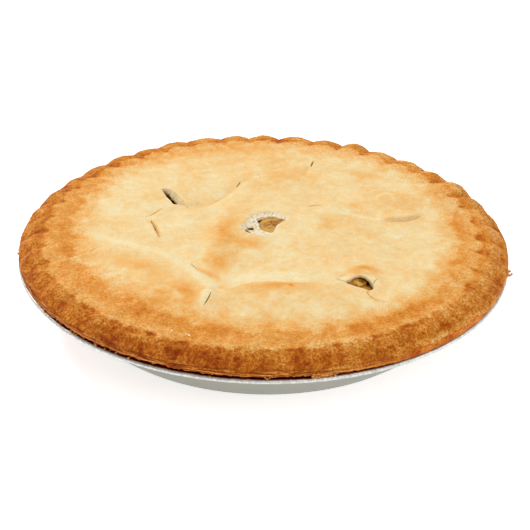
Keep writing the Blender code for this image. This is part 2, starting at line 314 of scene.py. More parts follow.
def polygon_distance(x, y, corners):
    """Distance inside (positive) or outside (negative) a closed outline."""
    closed = list(corners) + [corners[0]]
    d, _ = along_path(x, y, closed)
    inside = np.zeros(x.shape, bool)
    for (ax, ay), (bx, by) in zip(closed, closed[1:]):
        if ay != by:
            left_of = x < (bx - ax) * (y - ay) / (by - ay) + ax
            inside ^= ((ay > y) != (by > y)) & left_of
    return np.where(inside, np.abs(d), -np.abs(d))


def lid_base(x, y):
    """Height of the lid with only its broad swells, as in the solid."""
    r = np.hypot(x, y)
    z = LID_CENTRE_Z - LID_FALL * (r / LID_FALL_R) ** 2
    inner = fall(88.0, 108.0, r)
    z = z + swells(x, y, SWELLS) * inner
    for spacing, height, seed in UNEVENNESS:
        z = z + wavy(x, y, spacing, seed) * height * inner
    ramp = smooth_step(FLUTE_START_R, CREST_R, r)
    dip = flute(np.arctan2(y, x))
    return z + ramp * (CREST_Z - LID_CENTRE_Z + LID_FALL - FLUTE_DEPTH * dip)


def lid_folded(x, y):
    """Height of the lid with its folds and lips."""
    z = lid_base(x, y)
    inner = fall(96.0, 107.0, np.hypot(x, y))
    for path, rise, near, far in FOLDS:
        z = z + fold_height(x, y, path, rise, near, far) * inner
    return z + scarp_height(x, y, *SCARP)


def lid_height(x, y):
    """Height of the lid's upper surface with its fine unevenness."""
    z = lid_folded(x, y)
    torn_in = polygon_distance(x, y, MIDDLE_SKIN)
    sunk = 0.5 * smooth_step(-0.3, 0.8, torn_in) + 0.5 * smooth_step(0.5, 6.0, torn_in)
    z = z - MIDDLE_SINK * sunk + 0.3 * bell(torn_in + 1.5, 3.0**0.5)
    flat = points_from(x, y, 0.0)
    z = z + smooth_step(0.0, 1.2, torn_in) * 0.45 * rough(flat, 2.4, 3, 9.0)
    z = z - 0.2 * swells(x, y, PITS)
    return z + 0.22 * rough(flat, 7.0, 2, 1.0) + 0.07 * rough(flat, 2.0, 3, 2.0)


# ---- meshes
def add_object(name, data):
    made = bpy.data.objects.new(name, data)
    bpy.context.scene.collection.objects.link(made)
    return made


def new_object(bm, name, look=None):
    """An object of the bmesh, which is freed, with its faces pointing out."""
    bmesh.ops.recalc_face_normals(bm, faces=bm.faces)
    mesh = bpy.data.meshes.new(name)
    bm.to_mesh(mesh)
    bm.free()
    if look:
        mesh.materials.append(look)
    return add_object(name, mesh)


def disc_point(a, b):
    """A point of the square from -1 to 1 taken to the unit disc, ring for ring."""
    if abs(a) >= abs(b):
        r, turn = a, (math.pi / 4) * (b / a if a else 0.0)
    else:
        r, turn = b, math.pi / 2 - (math.pi / 4) * (a / b)
    return r * math.cos(turn), r * math.sin(turn)


def disc_body(cells, place_disc, rings):
    """A closed body: a disc of cells x cells quads, walls ring by ring and a flat cap.
    place_disc takes the unit disc's x and y to points, and a ring takes bearings."""
    bm = bmesh.new()
    bmesh.ops.create_grid(bm, x_segments=cells, y_segments=cells, size=1.0)
    turned = Matrix.Rotation(math.pi / 4 / cells if cells % 2 else 0.0, 2)
    unit = np.array([turned @ Vector(disc_point(v.co.x, v.co.y)) for v in bm.verts])
    for vertex, place in zip(bm.verts, place_disc(unit[:, 0], unit[:, 1])):
        vertex.co = place * MM
    edges = [e for e in bm.edges if e.is_boundary]
    bearings = dict(zip(bm.verts, np.arctan2(unit[:, 1], unit[:, 0])))
    for ring in rings:
        made = bmesh.ops.extrude_edge_only(bm, edges=edges)["geom"]
        verts = [g for g in made if isinstance(g, bmesh.types.BMVert)]
        above = bearings
        bearings = {}
        for vertex in verts:
            others = (e.other_vert(vertex) for e in vertex.link_edges)
            bearings[vertex] = next(above[v] for v in others if v in above)
        for vertex, place in zip(verts, ring(np.array(list(bearings.values())))):
            vertex.co = place * MM
        edges = [g for g in made if isinstance(g, bmesh.types.BMEdge) and g.is_boundary]
    bmesh.ops.edgeloop_fill(bm, edges=edges)
    return bm


def plain_rings(*sizes):
    """Rings for disc_body: radius and height."""
    return [lambda b, size=size: polar(b, *size) for size in sizes]


def skin(bm, sections):
    """Faces through closed sections of as many corners each, or of a single point.
    Returns the sections' vertices."""
    rings = [[bm.verts.new(Vector(c) * MM) for c in section] for section in sections]
    for a, b in zip(rings, rings[1:]):
        count = max(len(a), len(b))
        for k in range(count):
            j = (k + 1) % count
            corners = (a[k % len(a)], b[k % len(b)], b[j % len(b)], a[j % len(a)])
            bm.faces.new(dict.fromkeys(corners))
    return rings


def loft(name, sections):
    """A closed object through the sections."""
    bm = bmesh.new()
    rings = skin(bm, sections)
    bm.faces.new(rings[0])
    bm.faces.new(rings[-1])
    return new_object(bm, name)


def vertex_places(mesh):
    """x, y and z of the vertices."""
    co = np.empty(len(mesh.vertices) * 3, np.float32)
    mesh.vertices.foreach_get("co", co)
    return (co.reshape(-1, 3).astype(float) / MM).T


def write_values(mesh, values):
    """Keeps named values of the vertices for a material to read."""
    for name, value in values.items():
        layer = mesh.attributes.new(name, "FLOAT", "POINT")
        layer.data.foreach_set("value", value.astype(np.float32))


def smooth(obj, angle):
    """Smooth shading, with edges sharper than the angle kept."""
    obj.data.shade_smooth()
    obj.data.set_sharp_from_angle(angle=math.radians(angle))
    return obj


def boolean(obj, others, operation):
    """Joins the others to the object, or cuts them out of it, and removes them. The
    slivers that this leaves are closed up, so that every face has some width."""
    group = bpy.data.collections.new(f"{obj.name}_{operation.lower()}")
    bpy.context.scene.collection.children.link(group)
    for other in others:
        group.objects.link(other)
    made = obj.modifiers.new("Shape", "BOOLEAN")
    made.operation = operation
    made.operand_type = "COLLECTION"
    made.collection = group
    made.solver = "MANIFOLD"
    bm = bmesh.new()
    bm.from_object(obj, bpy.context.evaluated_depsgraph_get())
    bmesh.ops.remove_doubles(bm, verts=bm.verts, dist=WELD * MM)
    bmesh.ops.dissolve_degenerate(bm, edges=bm.edges, dist=WELD * MM)
    loose = [v for v in bm.verts if len(v.link_edges) == 2]
    bmesh.ops.dissolve_verts(bm, verts=loose)
    obj.modifiers.clear()
    bm.to_mesh(obj.data)
    bm.free()
    for other in others:
        bpy.data.objects.remove(other, do_unlink=True)
    bpy.data.collections.remove(group)


# ---- the border
# Outline of the border from the lid to the underside of the lip: radius, height,
# share of the flutes' depth and of their bite, and the same two at the sides.
BORDER = (
    (109, 38.45, 0.97, 0.25, 0.97, 0.25),
    (111.2, 38.3, 1, 0.55, 1, 0.55),
    (113.4, 37.75, 1, 0.95, 1, 1),
    (115.9, 36.2, 0.85, 1.1, 1, 1.3),
    (117.8, 34.5, 0.5, 0.8, 0.9, 1.3),
    (119.3, 32.9, 0.2, 0.4, 0.5, 0.9),
    (120.1, 31.6, 0, 0.05, 0.1, 0.3),
    (120.2, 30.4, 0, 0, 0, 0),
    (119.8, 29, 0, 0, 0, 0),
)
LIP_HANG = 1.3
# Radius and height of the hidden sides: the lip's underside, the bottom crust, and
# the hollow in the pastry that the filling takes up.
LIP_UNDERSIDE = ((118.9, 28.8), (118, 28.6), (117.7, 27.75), (113, 27.75))
BOTTOM_CRUST = ((TIN_MOUTH_R, 27.7), (92.2667, 3), (87.2, 0.7))
HOLLOW_R = 100.0
HOLLOW_WALL = ((104.5, 32.6), (105.6, 30.5), (100, 20), (89, 4.7))
BORDER_STEP = 0.85
BITE_START_R = 103.0
FLAKE_BEARING, FLAKE_Z = -13.7, 31.2  # a flake that sticks out
TORN = (-60.0, -29.0, 32.9)  # the dough's torn edge: first and last bearing, height
TORN_REACH = 1.6


def between(a, b, c, d, count):
    """Points from b on towards c, on a smooth curve through the four."""
    for t in np.arange(count) / count:
        curve = 2 * b + (c - a) * t + (2 * a - 5 * b + 4 * c - d) * t**2
        yield 0.5 * (curve + (3 * b - a - 3 * c + d) * t**3)


def spline_points(controls, step):
    """Points about step apart on a smooth curve through the controls."""
    controls = np.array(controls, float)
    before = 2 * controls[0] - controls[1]
    after = 2 * controls[-1] - controls[-2]
    padded = np.vstack([before, controls, after])
    made = []
    for a, b, c, d in zip(padded, padded[1:], padded[2:], padded[3:]):
        count = max(1, round(float(np.hypot(*(c - b)[:2])) / step))
        made += between(a, b, c, d, count)
    return np.array([*made, controls[-1]])


def lip_hang(bearing):
    """How far the lip hangs towards the tin's bead. It droops at one place in front
    and closes the gap round the right and at the far left."""
    turn = np.degrees(bearing)
    ragged = 3.0 * np.sin(turn * 0.9) + 2.0 * np.sin(turn * 2.3)
    droop = smooth_step(-79.4, -78.6, turn) * fall(-75.6, -74.2, turn)
    right = 0.3 * smooth_step(-80.0, -76.0, turn) + 0.7 * smooth_step(-68.0, -57.0, turn)
    right = right * fall(10.0, 45.0, turn + ragged)
    left = smooth_step(0.82, 0.90, -np.cos(bearing))
    return LIP_HANG * np.maximum(np.maximum(droop, right), left)


def torn_edge(bearing, z):
    """(share, how high above it) of the torn edge of the dough over the lip. The
    share is 1 along the edge and 0 past its ends."""
    first, last, height = TORN
    turn = np.degrees(bearing)
    share = smooth_step(first, first + 8.0, turn) * fall(last - 4.0, last, turn)
    ragged = 0.8 * rough(polar(bearing, 120.0, 0.0), 2.6, 3, 8.0)
    return share, z - height - ragged + 2.5 * smooth_step(last - 8.0, last, turn)


def border_points(bearing, place):
    """Points of the border at the bearings, with flutes, crust and flakes, from a
    point of its outline."""
    radius, height, *shares = place
    dip = flute(bearing)
    sideways = np.abs(np.cos(bearing)) * smooth_step(-0.5, 0.1, np.sin(bearing))
    pressed, bitten = (a + (b - a) * sideways for a, b in zip(shares[:2], shares[2:]))
    r = radius - bitten * FLUTE_BITE * dip
    z = height - pressed * FLUTE_DEPTH * dip
    low = fall(31.0, 32.8, height)
    hang = lip_hang(bearing)
    z = z - hang * fall(29.0, 31.6, height)
    points = polar(bearing, r, z)
    band = smooth_step(108.0, 113.0, radius)
    lumps = 0.28 * rough(points, 3.2, 3, 4.0) + 0.12 * rough(points, 1.1, 2, 5.0)
    flaky = 0.28 * rough(points * np.array([0.5, 0.5, 5.0]), 4.0, 3, 6.0)
    out = band * (lumps * (1 - 0.5 * low) + flaky * low)
    out = out + bell(np.degrees(bearing) - FLAKE_BEARING, 0.8) * bell(height - FLAKE_Z, 1.3)
    torn, over = torn_edge(bearing, z)
    out = out + TORN_REACH * torn * bell(over, 0.75)
    ragged = rough(points * np.array([1.0, 1.0, 0.0]), 2.4, 3, 7.0) * (0.9 - 0.6 * hang / LIP_HANG)
    up = 0.5 * band * lumps * (1 - low) + low * ragged * (height < 30.0)
    return points + polar(bearing, out, up)


def make_crust(look):
    """The pastry: lid, border and bottom crust, with its vents and cracks cut."""

    def place_disc(u, v):
        bearing = np.arctan2(v, u)
        r = np.hypot(u, v) * DISC_R
        bite = smooth_step(BITE_START_R, DISC_R, r) * 0.25 * FLUTE_BITE
        r = r - bite * flute(bearing)
        x, y = r * np.cos(bearing), r * np.sin(bearing)
        return points_from(x, y, lid_height(x, y))

    outline = spline_points(BORDER, BORDER_STEP)[1:]
    rings = [lambda b, place=place: border_points(b, place) for place in outline]
    rings += plain_rings(*LIP_UNDERSIDE, *BOTTOM_CRUST)
    crust = new_object(disc_body(LID_CELLS, place_disc, rings), "crust", look)

    def hollow_top(u, v):
        x, y = u * HOLLOW_R, v * HOLLOW_R
        z = lid_folded(x, y) - LID_THICKNESS + swells(x, y, THIN)
        return points_from(x, y, z)

    hollow = disc_body(HOLLOW_CELLS, hollow_top, plain_rings(*HOLLOW_WALL))
    cutters = [new_object(hollow, "hollow")]
    for name, sizes in SLITS.items():
        cutters.append(vent_cutter(name, slit_outline(*sizes)))
    for name, corners in OPENINGS.items():
        slope = WALL_SLOPE.get(name, (0.0, 0.0))
        cutters.append(vent_cutter(name, torn_outline(corners), slope))
    for k, crack in enumerate(CRACKS):
        cutters.append(crack_cutter(f"crack_{k}", *crack))
    boolean(crust, cutters, "DIFFERENCE")
    return crust


def slit_outline(start, end, width, bow, points=14):
    """Corners of a slit that tapers to both ends and bows to one side, a little
    jagged."""
    start, end = Vector(start), Vector(end)
    along = (end - start).normalized()
    across = Vector((-along.y, along.x))
    rng = np.random.default_rng(int(abs(start.x * 10)))
    corners = []
    for side in (1, -1):
        for k in range(points):
            t = k / points if side > 0 else 1 - k / points
            taper = math.sin(math.pi * t) if 0 < t < 1 else 0.0
            jag = min(0.12 * width, 0.12) * rng.uniform(-1, 1) * taper
            off = side * 0.5 * width * taper**0.8 + bow * taper + jag
            corners.append(start.lerp(end, t) + across * off)
    return corners


def torn_outline(corners, count=4):
    """A closed outline, smooth but a little uneven, with count points for a corner."""
    rng = np.random.default_rng(8)
    closed = np.array([corners[-1], *corners, *corners[:2]], float)
    made = []
    for quad in zip(closed, closed[1:], closed[2:], closed[3:]):
        for point in between(*quad, count):
            made.append(Vector(point + rng.uniform(-0.1, 0.1, 2)))
    return made


def vent_cutter(name, corners, slope=(0.0, 0.0), low=32.5, high=48.0, spread=0.12):
    """A prism through the lid, a little narrower at its foot. With a slope it leans,
    and has its outline at the lid's height."""
    middle = sum((Vector(c) for c in corners), Vector((0, 0))) / len(corners)
    ends = []
    for z, grown in ((low, 1 - spread), (high, 1 + spread)):
        shift = Vector(slope) * (z - LID_CENTRE_Z)
        ends.append([(*((Vector(c) - middle) * grown + middle + shift), z) for c in corners])
    return loft(name, ends)


def crack_cutter(name, path, width, depth, steps=7):
    """A trench with a sharp bottom that follows a path and tapers to its ends."""
    path = [Vector(p) for p in path]
    rng = np.random.default_rng(len(name) + int(abs(path[0].x)))
    spine = []
    for a, b in zip(path, path[1:]):
        for k in range(steps):
            jag = Vector(rng.uniform(-0.22, 0.22, 2)) if spine else Vector((0, 0))
            spine.append(a.lerp(b, k / steps) + jag)
    spine.append(path[-1])
    along = (path[-1] - path[0]).normalized()
    across = Vector((-along.y, along.x))
    heights = lid_height(*np.array([tuple(p) for p in spine]).T)
    above = 1.5
    sections = []
    for k, (point, z) in enumerate(zip(spine, heights)):
        taper = math.sin(math.pi * (0.04 + 0.92 * k / (len(spine) - 1))) ** 0.7
        half = 0.5 * width * taper * (depth + above) / depth
        left, right = point + across * half, point - across * half
        bottom = z - depth * (0.4 + 0.6 * taper)
        sections.append(((*left, z + above), (*right, z + above), (*point, bottom)))
    return loft(name, sections)


# ---- browning
# Browned and pale patches: swells of the browning.
BROWNED = (
    # the ridge left of the middle
    (-17.5, 0, 9, 5, 80, 0.15), (-17.5, -14, 10, 5.5, 85, 0.15), (-22, -36, 9, 4.2, 84, 0.17),
    (-25.5, -48.5, 7, 2.6, -42, 0.17), (-16.5, -30, 8, 3.5, 80, 0.08), (-8, -17, 7, 4.5, -15, 0.18),
    (-14, 13, 9, 7, 30, 0.04),
    # the pale dip behind the front fold
    (0, -50, 14, 6, 6, -0.08), (-6, -51.5, 5, 3.2, 10, -0.07), (9.7, -45, 4, 2.5, 0, -0.06),
    # the near side of the front fold
    (4.5, -61.5, 10.5, 3, 0, 0.20), (-3, -65, 9, 4, 6, 0.12), (20, -62, 14, 7, 0, 0.05),
    # the rest of the lid
    (10, 57, 12, 9, 40, 0.12), (8, 78, 6, 3, 50, 0.08), (-72, -38, 16, 9, -35, 0.08),
    (-55, -46, 11, 6, -35, 0.13), (-43, -64.5, 11, 6, -20, 0.14), (-34, -72, 5, 12, 15, 0.20),
    (-56, -74, 16, 5, -35, 0.10), (-46, -88, 18, 7, -25, 0.10), (-44, -73.6, 7.5, 7, 0, 0.10),
    (-26, -67, 2.5, 3.5, 20, 0.14), (-20, -63, 3, 2.5, 0, 0.10), (32, 5, 6, 7, 0, 0.08),
    (50, -8, 8, 10, 20, 0.05), (58, 33, 20, 12, 20, 0.03), (44, 25, 5, 4, 0, 0.05),
    (-95, -20, 8, 14, 15, 0.12), (-98, 22, 7, 24, -8, 0.04), (-84, 66, 26, 9, 50, 0.08),
    (-10, 92, 40, 14, 0, 0.08), (-20, 66, 30, 14, 5, 0.03), (70, -74, 14, 6, 38, 0.12),
    (88, -40, 5, 12, -20, 0.10), (26, -70, 10, 7, 0, 0.05), (-6, -94, 20, 5, 0, 0.06),
    (-22.7, -98.4, 13, 4.5, -13, 0.10), (48, -91, 26, 5, 28, 0.07), (-6, -74, 15, 7, 0, 0.06),
    (71, 28, 12, 7, 10, 0.07), (85, 41, 8, 7, 0, 0.08), (54, 62, 9, 4, -20, 0.07),
    (95, 8, 5, 14, 0, 0.05),
    # the border in front, browned at one place and pale at the others
    (-28, -112.5, 13, 3.5, -14, 0.16), (6.5, -112.5, 5, 5, 0, -0.12), (28, -109.5, 7, 6, 15, -0.14),
    (45, -104, 6, 5, 25, -0.10), (-48.8, -100.7, 6, 5, 0, -0.24), (88, -75, 24, 7, 50, -0.13),
)
# Pale crests (less than 0) and browned creases: path, half width, amount.
LINES = (
    (SWELL_EDGE, 3.2, -0.13), (SWELL_END, 1.8, -0.16), (LEFT_CREASE, 0.9, -0.16),
    (BACK_CREASE, 1.4, 0.02), (FRONT_FOLD, 1.6, 0.07), (RIGHT_CREASE, 1.4, -0.05),
    (FLAP_CREST, 3.2, 0.25), (((41.6, -51.2), (44.6, -49.2), (47.2, -50)), 1.6, 0.14),
    (((34.6, -53.2), (37.4, -51.4), (40, -50.4)), 1.5, -0.08),
    (((49.6, -50.6), (52, -53.6), (53.4, -57)), 1.6, -0.10), (LEFT_CRACK, 1.1, 0.20),
    (BACK_CRACK, 0.5, 0.10), (LEFT_HAIRLINE, 0.35, 0.12), (RIGHT_HAIRLINE, 0.5, 0.10),
    (FRONT_HAIRLINE, 0.6, 0.07),
    (((56.7, 29.3), (58, 35), (62, 39.5), (65, 37), (66, 30.5), (63, 23)), 1.1, -0.07),
    (((86, 54), (91, 51), (95, 47), (97, 33), (100, 19), (103, 7), (103, -9)), 1.3, -0.05),
    (((3.5, 63), (9, 66.5)), 1, -0.08), (SWELL_SWIRL, 1.5, -0.13),
    (((12.4, -61.6), (13.1, -61.2)), 0.9, 0.50),
)
# Browning of the rim: added on the lid by the edge, on the border's crest and on
# its outer slope, the radius of the border's edge and where the browning begins.
RIM_GOLDEN = (0.27, 0.18, 0.17, 0.24, 0.30, 0.25, 0.28, 0.28)
RIM_CREST = (0.07, 0.14, 0.19, 0.16, 0.11, 0.20, 0.15, 0.09)
RIM_SLOPE = (0.07, 0.12, 0.16, 0.12, 0.06, 0.20, 0.21, 0.16)
RIM_EDGE = (105, 105, 104.5, 105.5, 107.5, 110.5, 111.5, 109.5)
RIM_START = (82, 87, 87, 86, 80, 80, 84, 87)
DARK, DARKEST = 0.66, 0.82  # browning slows down over the first and ends at the second


def browning(x, y, z):
    """How brown the oven left each point: 0 pale to 1 dark."""
    points = points_from(x, y, z)
    broad = rough(points, 17.0, 3, 21.0)
    blotch = rough(points, 6.5, 3, 22.0)
    small = rough(points, 2.8, 3, 26.0)
    patchy = rough(points, 10.0, 2, 24.0)
    warp_x, warp_y = x + 3.0 * broad + 1.5 * small, y + 3.0 * blotch
    r, bearing = np.hypot(x, y), np.arctan2(y, x)
    dip = flute(bearing)
    value = 0.06 + swells(warp_x, warp_y, BROWNED)
    for path, width, amount in LINES:
        d, place = along_path(x + 0.4 * small, y + 0.4 * blotch, path)
        value += amount * path_fade(place) * bell(d, width)
    pressed = dip / round_rim(bearing, FLUTE_SHARE)
    start = round_rim(bearing, RIM_START)
    valley = smooth_step(0.2, 1.0, pressed)
    edge = round_rim(bearing, RIM_EDGE) + 0.8 - 2.4 * valley
    uneven_r = r + 4.0 * blotch + 3.0 * broad
    golden = 0.7 * smooth_step(start, start + 19.0, uneven_r)
    golden = golden + 0.3 * smooth_step(start + 12.5, start + 15.0, uneven_r + 1.5 * small)
    crest = smooth_step(edge - 0.8, edge + 1.4, r + 1.2 * small + 1.3 * blotch)
    slope = smooth_step(112.0, 117.0, r)
    for share, amounts in ((golden, RIM_GOLDEN), (crest, RIM_CREST), (slope, RIM_SLOPE)):
        value += share * round_rim(bearing, amounts)
    value -= 0.05 * bell(r - edge + 4.5 + 1.5 * blotch, 2.6)
    value -= 0.05 * bell(r - edge + 1.6 + 0.8 * blotch, 0.9)
    value += 0.11 * bell(r - edge - 1.3 + 1.2 * small + 1.3 * blotch, 1.1)
    value += crest * (0.13 * (valley - 0.3) + 0.15 * patchy)
    torn, over = torn_edge(bearing, z)
    # A pale torn edge, with a darker line above it: reddish pits and painted shadow.
    line = 0.06 * bell(over - 1.7, 0.7) - 0.26 * bell(over, 0.7)
    value += torn * (r > 112.0) * (line + 0.16 * smooth_step(0.5, 1.2, -over))
    uneven = 0.7 * blotch + 0.3 * small
    value += uneven * (0.026 + 0.24 * value) + (0.03 + 0.10 * value) * broad
    value = np.where(value > DARK, DARK + 0.6 * (value - DARK), value)
    return np.clip(value, 0.02 + 0.2 * smooth_step(95.0, 104.0, r), DARKEST)


def finish_crust(crust):
    """Writes what the pastry's material reads: browning, depth under the skin (which the
    material turns into painted shade), the border's crumb, the bare dough, the lip,
    and the painted shade with burnt juice under the lip."""
    x, y, z = vertex_places(crust.data)
    r, bearing = np.hypot(x, y), np.arctan2(y, x)
    inside = r < 106.0
    # The depth under the lid's surface; the material paints deeper places darker, as shade in vents and
    # cracks.
    depth = np.where(inside, lid_height(x, y) - z, 0.0)
    depth = np.where(depth < 0.12, 0.0, depth)
    depth = depth * (1.0 + 1.6 * swells(x, y, STAINS_AND_CRACK_SHADE)) + inside * swells(x, y, PITS)
    torn_in = polygon_distance(x, y, MIDDLE_SKIN)
    bare = np.maximum(smooth_step(-0.5, 0.5, torn_in), smooth_step(0.1, 0.5, depth))
    start = round_rim(bearing, RIM_START)
    golden = 0.5 * smooth_step(start, start + 22.0, r)
    lip_shows = smooth_step(0.0, 40.0, -y) * (1 - 0.85 * smooth_step(30.0, 75.0, x))
    hang = lip_hang(bearing)
    torn, over = torn_edge(bearing, z)
    band = smooth_step(105.0, 113.0, r) * (1.0 - 0.3 * torn * smooth_step(0.4, 1.2, -over))
    write_values(crust.data, {
        "bake": browning(x, y, z),
        "depth": np.clip(depth, 0.0, 10.0),
        "bare": bare * (r < 104.0),
        "crumb": np.maximum(band, golden) * smooth_step(29.0, 31.0, z + hang),
        "lip": smooth_step(115.5, 117.5, r) * fall(31.2, 33.2, z) * lip_shows,
        # Painted shade, with some burnt juice, on the lip's underside where the gap to the bead stays open.
        "under": (r > 111.5) * fall(28.5, 29.0, z + hang) * (1 - hang / LIP_HANG),
    })
    return smooth(crust, 50)


# ---- filling
FILLING_R = 99.7
FILLING_GAP = 2.2  # under the lid
FILLING_CELLS = 60
FILLING_WALL = ((104.2, 32), (105.3, 30.4), (99.7, 20), (88.7, 5))  # radius, height
# Pieces of apple: x, y, z, length, width, height, turn, tilt.
APPLE_PIECES = (
    (4.6, 2.8, 34.8, 25, 18, 6.4, 62, -3), (43.9, -52.2, 36.9, 7, 6, 5.4, -50, 12),
    (40.8, -53.6, 36.6, 6, 5, 5, 30, -10), (47.6, -54.6, 35, 6, 5, 5, 10, 6),
    (-48.2, 33.9, 29.4, 14, 9, 6, 130, 0), (-40.2, 26.4, 29.4, 12, 9, 6, 60, 0),
)


def make_filling(look):
    """The filling: cooked apple pieces on a body that fills the pastry."""

    def top(u, v):
        x, y = u * FILLING_R, v * FILLING_R
        z = lid_base(x, y) - LID_THICKNESS - FILLING_GAP
        return points_from(x, y, z + 0.5 * rough(points_from(x, y, 0.0), 9.0, 2, 3.0))

    body = disc_body(FILLING_CELLS, top, plain_rings(*FILLING_WALL))
    filling = new_object(body, "filling", look)
    pieces = []
    for k, (x, y, z, length, width, height, turn, tilt) in enumerate(APPLE_PIECES):
        bm = bmesh.new()
        bmesh.ops.create_cube(bm, size=1.0)
        bmesh.ops.subdivide_edges(bm, edges=bm.edges, cuts=7, use_grid_fill=True)
        for vertex in bm.verts:
            p = vertex.co * 2
            ball = p.normalized()
            box = 0.62 * p + 0.38 * ball * 1.15
            wobble = 1.0 + 0.10 * noise.fractal(ball * 1.6 + Vector((k, k, k)), 0.9, 2.0, 3)
            vertex.co = box * 0.5 * wobble
        turned = Euler((0.0, math.radians(tilt), math.radians(turn)))
        size = Vector((length, width, height)) * MM
        place = Matrix.LocRotScale(Vector((x, y, z)) * MM, turned, size)
        bmesh.ops.transform(bm, matrix=place, verts=bm.verts)
        pieces.append(new_object(bm, f"piece_{k}"))
    boolean(filling, pieces, "UNION")
    return smooth(filling, 60)


# ---- crumbs
# Pale flakes on the lid, partly sugar and partly painted highlights where the pastry glints: x, y, size.
FLAKES_AND_GLINTS = (
    (-5.4, 53.6, 1.4), (-3.8, 54.4, 1.0), (-1.6, 55.2, 1.2), (-31.8, -100.8, 1.1),
    (-33.2, -100.0, 0.8), (-39.6, -98.5, 0.9), (-41.2, -97.6, 0.7), (13.0, -35.5, 0.7),
    (8.6, -45.2, 0.8), (11.8, -47.0, 0.6), (15.0, -42.4, 0.6), (17.4, -38.6, 0.6),
    (-2.4, -53.4, 0.7), (2.8, 16.4, 0.8),
)
# Crumbs on the lip and the bead: first and last bearing, number of them.
CRUMBED = ((-79.6, -74.2, 60), (-110, -50, 30), (-150, -110, 36))
# Larger ones that stand out from the edge: bearing, radius, z, size.
STUCK = (
    (-13.2, 121, 31.9, 2), (-14.2, 121.7, 30.9, 1.9), (-13.4, 122.3, 30.7, 1.4),
    (-14.6, 120.6, 31.8, 1.6), (188.4, 120.2, 31.4, 1.2), (187.2, 120, 32, 1),
    (195, 119.9, 31.6, 0.9),
)


def add_crumb(bm, rng, place, size, flat):
    """An uneven lump of about the size, turned at random."""
    made = bmesh.ops.create_icosphere(bm, subdivisions=1, radius=0.5 * size * MM)["verts"]
    for vertex in made:
        vertex.co *= rng.uniform(0.75, 1.25)
        vertex.co.z *= flat
    turn = Matrix.Rotation(rng.uniform(0, 2 * math.pi), 4, "Z")
    turn = turn @ Matrix.Rotation(rng.uniform(-0.5, 0.5), 4, "X")
    bmesh.ops.transform(bm, matrix=Matrix.Translation(place * MM) @ turn, verts=made)


def rim_place(bearing, r, z):
    return Vector(polar(np.radians([bearing]), r, z)[0])


def make_crumbs(look):
    """Crumbs on the lip and pale flakes on the lid, as one mesh; the flakes are partly sugar and partly
    painted highlights.
    """
    rng = np.random.default_rng(12)
    bm = bmesh.new()
    for first, last, count in CRUMBED:
        for _ in range(count):
            bearing = rng.uniform(first, last)
            r, z = rng.uniform(119.5, 120.4), rng.uniform(27.7, 30.6)
            add_crumb(bm, rng, rim_place(bearing, r, z), rng.uniform(0.5, 1.1), 0.8)
    for bearing, r, z, size in STUCK:
        add_crumb(bm, rng, rim_place(bearing, r, z), size, 0.8)
    for x, y, size in FLAKES_AND_GLINTS:
        z = float(lid_height(np.array([x]), np.array([y]))[0])
        add_crumb(bm, rng, Vector((x, y, z + 0.1)), size, 0.4)
    return new_object(bm, "crumbs", look)


# ---- tin
TIN_STEPS = 12 * FLUTES


def tin_wall(z):
    """The radius of the tin's wall at a height."""
    return TIN_BASE_R + (TIN_MOUTH_R - TIN_BASE_R) * z / TIN_FLANGE_Z


def make_tin(look):
    """The foil tin: a turned profile whose bead is finely crimped."""
    base, mouth, flange, gauge = TIN_BASE_R, TIN_MOUTH_R, TIN_FLANGE_Z, TIN_GAUGE
    wall_gauge = gauge / math.cos(math.atan2(mouth - base, flange))
    corner_r, corner_z = TIN_CORNER
    bead_r, bead_z = BEAD_CENTRE
    outer = [(0.0, 0.0), (30.0, 0.0), (60.0, 0.0), (80.0, 0.0)]
    for a in np.linspace(0, 1.35, 6):
        outer.append((base + corner_r * (math.sin(a) - 1), corner_z * (1 - math.cos(a))))
    outer += [(tin_wall(z), z) for z in np.linspace(4.0, 25.8, 10)]
    outer += [(mouth + 0.5, flange - 0.25), (mouth + 1.4, flange), (TIN_FLANGE_R, flange)]
    bead = []
    for a in np.radians(np.linspace(200, 528, 22)):
        bead.append((bead_r + BEAD_R * math.cos(a), bead_z + BEAD_R * math.sin(a)))
    inner = [
        (TIN_FLANGE_R, flange + gauge),
        (mouth + 1.0, flange + gauge),
        (mouth - 0.6, flange - 0.4),
        (tin_wall(15.0) - wall_gauge, 15.0),
        (tin_wall(4.0) - wall_gauge, 4.0),
        (base - 4.0, gauge),
        (0.0, gauge),
    ]
    turns = 2 * math.pi * np.arange(TIN_STEPS) / TIN_STEPS
    crimps = 0.20 * rough(polar(turns, 120.0, 0.0), 0.9, 2, 3.0) - 0.08
    waves = 0.08 * rough(polar(turns, 120.0, 9.0), 14.0, 2, 3.0)
    sections = []
    for part, crimped in ((outer, 0.0), (bead, 1.0), (inner, 0.0)):
        for r, z in part:
            out = crimped * crimps * (r > bead_r - 0.6)
            around = polar(turns, r + out, z + crimped * waves)
            sections.append(around if r else around[:1])
    bm = bmesh.new()
    skin(bm, sections)
    tin = new_object(bm, "tin", look)
    x, y, z = vertex_places(tin.data)
    # Where the flange shows in the gap under the lip, it is tinted red-brown.
    baked = fall(118.8, 119.3, np.hypot(x, y)) * smooth_step(26.2, 26.6, z)
    write_values(tin.data, {"baked": baked})
    return smooth(tin, 40)


# ---- materials
def linear(value):
    """A colour channel from 0 to 255 in linear light."""
    v = value / 255.0
    return v / 12.92 if v <= 0.04045 else ((v + 0.055) / 1.055) ** 2.4


def rgba(colour):
    """A colour with channels from 0 to 255 as a socket takes it."""
    return (*(linear(c) for c in colour), 1.0)


